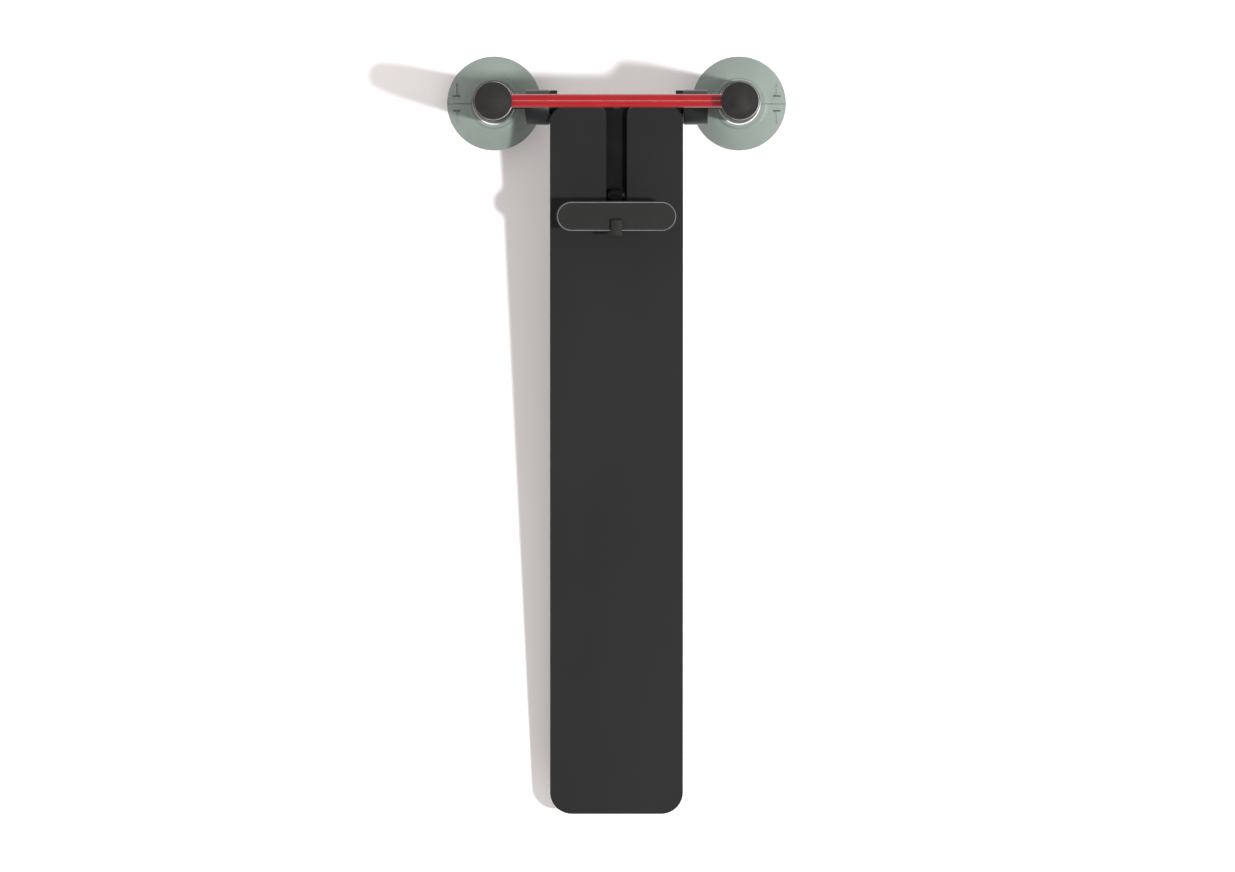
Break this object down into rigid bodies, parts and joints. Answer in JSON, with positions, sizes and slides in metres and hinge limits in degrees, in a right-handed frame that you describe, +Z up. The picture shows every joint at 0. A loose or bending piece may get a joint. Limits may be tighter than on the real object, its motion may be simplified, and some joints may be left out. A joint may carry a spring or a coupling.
{
  "type": "electric kick scooter",
  "caption": "Long-deck stand-up scooter with a folding twin-post telescopic front, red handlebar, round splash guards, foot brake pedal and hub-motor rear wheels.",
  "frame": {"origin": "on the ground under the centre of the bounding box, with the scooter standing on its four wheels", "axes": "+X to the rider's right, +Y forward along the deck, +Z up"},
  "size_m": [0.562, 1.256, 0.5117],
  "materials": {
    "deck_plastic": "moulded, fine texture",
    "grip_rubber": "matte grip mat",
    "frame_paint": "satin black paint",
    "barrel_gloss": "glossy dark grey-green",
    "case_plastic": "matte black",
    "pack_wrap": "blue heat-shrink",
    "bright_steel": "machined steel",
    "cast_alloy": "cast, bead-blasted",
    "tube_alloy": "anodised",
    "copper_windings": "varnished windings on steel",
    "bronze": "sintered bronze",
    "tyre_rubber": "black urethane",
    "chrome_lip": "polished",
    "red_paint": "glossy red paint",
    "grip_black": "soft black grip",
    "pedal_black": "satin black",
    "guard_clear": "translucent grey-green",
    "lamp_clear": "clear lens",
    "lamp_red": "red lens"
  },
  "bodies": {
    "chassis": {"deck_board": "deck_plastic", "deck_mat": "grip_rubber", "spine_beam": "frame_paint", "pivot_tube": "frame_paint", "battery_case": "case_plastic", "battery_pack": "pack_wrap", "battery_cover": "case_plastic", "case_screws": "bright_steel", "motor_controller": "cast_alloy", "charge_socket": "case_plastic", "tail_light": "lamp_red", "rear_truck": "cast_alloy", "rear_axle": "bright_steel", "motor_stators": "copper_windings", "pedal_bracket": "frame_paint", "pedal_pin": "bright_steel", "pedal_spring": "bright_steel"},
    "charge_flap": {"charge_flap": "grip_rubber"},
    "brake_pedal": {"pedal_arm": "pedal_black", "pedal_plate": "pedal_black"},
    "rear_wheel_left": {"rear_tyre_left": "tyre_rubber", "rear_motor_left": "cast_alloy", "rear_bearings_left": "bright_steel"},
    "rear_wheel_right": {"rear_tyre_right": "tyre_rubber", "rear_motor_right": "cast_alloy", "rear_bearings_right": "bright_steel"},
    "fold_yoke": {"yoke_plate": "frame_paint", "fold_barrels": "barrel_gloss", "headlight_body": "cast_alloy", "headlight_lens": "lamp_clear", "head_bushes": "bronze"},
    "fold_lock": {"fold_lock_pin": "bright_steel"},
    "steered_frame": {"steering_shaft": "bright_steel", "upper_cross_tube": "frame_paint", "lower_cross_tube": "frame_paint", "post_tube_left": "frame_paint", "post_tube_right": "frame_paint", "post_lips": "chrome_lip", "wheel_forks": "frame_paint", "front_axle_bolts": "bright_steel", "guard_brackets": "frame_paint", "guard_pins": "bright_steel"},
    "front_wheel_left": {"front_tyre_left": "tyre_rubber", "front_bearings_left": "bright_steel"},
    "front_wheel_right": {"front_tyre_right": "tyre_rubber", "front_bearings_right": "bright_steel"},
    "guard_front_left": {"guard_front_left": "guard_clear"},
    "guard_front_right": {"guard_front_right": "guard_clear"},
    "guard_rear_left": {"guard_rear_left": "guard_clear"},
    "guard_rear_right": {"guard_rear_right": "guard_clear"},
    "mast_middle": {"middle_tubes": "tube_alloy"},
    "mast_upper": {"inner_tubes": "tube_alloy", "handlebar": "red_paint", "bar_head_left": "grip_black", "bar_head_right": "grip_black"},
    "brake_twist": {"twist_grip_left": "grip_black"},
    "throttle_twist": {"twist_grip_right": "grip_black"},
    "power_button": {"power_button": "bright_steel"},
    "release_trigger": {"release_trigger": "case_plastic"}
  },
  "joints": [
    {"name": "fold", "type": "hinge", "parent": "chassis", "child": "fold_yoke", "pos_m": [0, 0.542, 0.203], "axis": [1, 0, 0], "range_deg": [0, 62]},
    {"name": "steer", "type": "hinge", "parent": "fold_yoke", "child": "steered_frame", "pos_m": [0, 0.55, 0.28063], "axis": [0, 0, 1], "range_deg": [-20, 20]},
    {"name": "fold_lock_pull", "type": "slide", "parent": "fold_yoke", "child": "fold_lock", "axis": [0, 0, -1], "range_m": [0, 0.008], "stiffness_N_per_m": 800, "springref_m": -0.002},
    {"name": "lower_slide", "type": "slide", "parent": "steered_frame", "child": "mast_middle", "axis": [0, 0, 1], "range_m": [0, 0.28]},
    {"name": "upper_slide", "type": "slide", "parent": "mast_middle", "child": "mast_upper", "axis": [0, 0, 1], "range_m": [0, 0.28]},
    {"name": "throttle", "type": "hinge", "parent": "mast_upper", "child": "throttle_twist", "pos_m": [0.203, 0.55, 0.4707], "axis": [0, 0, 1], "range_deg": [0, 60], "stiffness_Nm_per_rad": 0.3},
    {"name": "electric_brake", "type": "hinge", "parent": "mast_upper", "child": "brake_twist", "pos_m": [-0.203, 0.55, 0.4707], "axis": [0, 0, -1], "range_deg": [0, 60], "stiffness_Nm_per_rad": 0.3},
    {"name": "release_press", "type": "slide", "parent": "mast_upper", "child": "release_trigger", "axis": [0, 0, 1], "range_m": [0, 0.004], "stiffness_N_per_m": 500, "springref_m": -0.001},
    {"name": "power_press", "type": "slide", "parent": "mast_upper", "child": "power_button", "axis": [0, 1, 0], "range_m": [0, 0.002], "stiffness_N_per_m": 800},
    {"name": "pedal_press", "type": "hinge", "parent": "chassis", "child": "brake_pedal", "pos_m": [0, 0.3965, 0.2146], "axis": [1, 0, 0], "range_deg": [0, 14], "stiffness_Nm_per_rad": 3, "springref_deg": -17.19},
    {"name": "charge_flap_open", "type": "hinge", "parent": "chassis", "child": "charge_flap", "pos_m": [0.089, -0.00728, 0.11754], "axis": [0, -0.9906, -0.1364], "range_deg": [0, 110]},
    {"name": "front_wheel_left_spin", "type": "hinge", "parent": "steered_frame", "child": "front_wheel_left", "pos_m": [-0.203, 0.55, 0.027], "axis": [1, 0, 0], "continuous": true},
    {"name": "rear_wheel_left_spin", "type": "hinge", "parent": "chassis", "child": "rear_wheel_left", "pos_m": [-0.075, -0.57, 0.035], "axis": [1, 0, 0], "continuous": true},
    {"name": "guard_front_left_open", "type": "hinge", "parent": "steered_frame", "child": "guard_front_left", "pos_m": [-0.129, 0.55, 0.036], "axis": [0, 0, -1], "range_deg": [0, 35]},
    {"name": "guard_rear_left_open", "type": "hinge", "parent": "steered_frame", "child": "guard_rear_left", "pos_m": [-0.129, 0.55, 0.036], "axis": [0, 0, 1], "range_deg": [0, 35]},
    {"name": "front_wheel_right_spin", "type": "hinge", "parent": "steered_frame", "child": "front_wheel_right", "pos_m": [0.203, 0.55, 0.027], "axis": [1, 0, 0], "continuous": true},
    {"name": "rear_wheel_right_spin", "type": "hinge", "parent": "chassis", "child": "rear_wheel_right", "pos_m": [0.075, -0.57, 0.035], "axis": [1, 0, 0], "continuous": true},
    {"name": "guard_front_right_open", "type": "hinge", "parent": "steered_frame", "child": "guard_front_right", "pos_m": [0.129, 0.55, 0.036], "axis": [0, 0, 1], "range_deg": [0, 35]},
    {"name": "guard_rear_right_open", "type": "hinge", "parent": "steered_frame", "child": "guard_rear_right", "pos_m": [0.129, 0.55, 0.036], "axis": [0, 0, -1], "range_deg": [0, 35]}
  ],
  "couplings": [
    {"joint": "upper_slide", "follows": "lower_slide", "ratio": 1}
  ]
}
